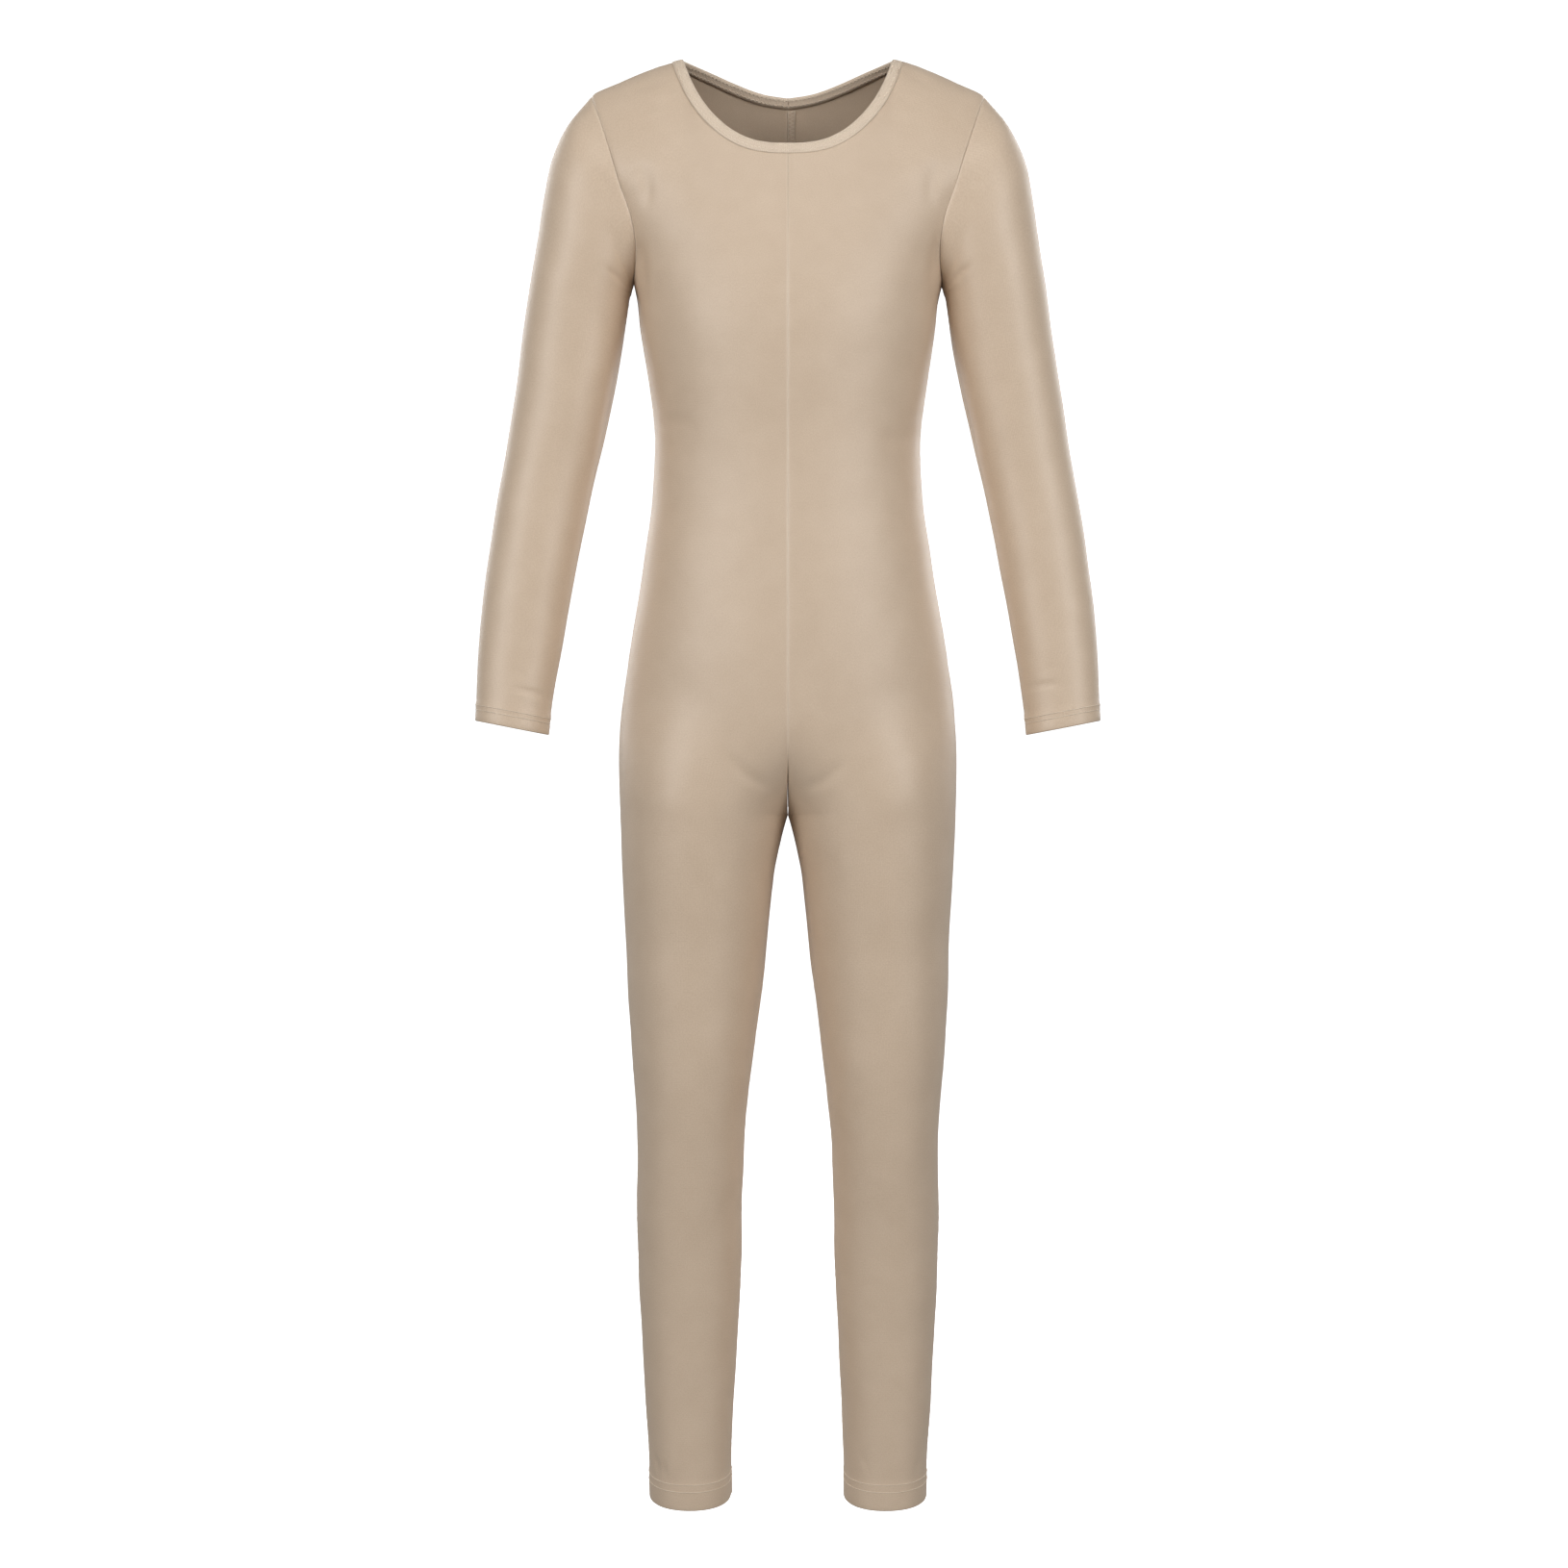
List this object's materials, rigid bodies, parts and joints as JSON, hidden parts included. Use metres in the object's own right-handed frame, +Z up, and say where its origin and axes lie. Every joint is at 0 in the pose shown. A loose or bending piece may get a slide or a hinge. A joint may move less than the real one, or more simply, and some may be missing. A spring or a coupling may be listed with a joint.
{
  "type": "dance unitard",
  "caption": "Long-sleeved, full-length stretch unitard with a scooped elasticated neck and a centre-front seam, hollow and filled out as worn.",
  "frame": {"origin": "between the shoulders, level with the points where the shoulder seams meet the neck, on the line from one to the other", "axes": "+Z up the body, -Y out of the front, +X to the wearer's left"},
  "size_m": [0.4262, 0.1681, 0.9948],
  "materials": {
    "knit": "nude satin nylon-elastane tricot, softly shiny down the limbs",
    "neck_elastic": "the same knit folded over elastic, zigzag stitched"
  },
  "bodies": {
    "root": {"front_left": "knit", "front_right": "knit", "back_left": "knit", "back_right": "knit", "sleeve_left": "knit", "sleeve_right": "knit", "neck_band": "neck_elastic"}
  },
  "joints": []
}
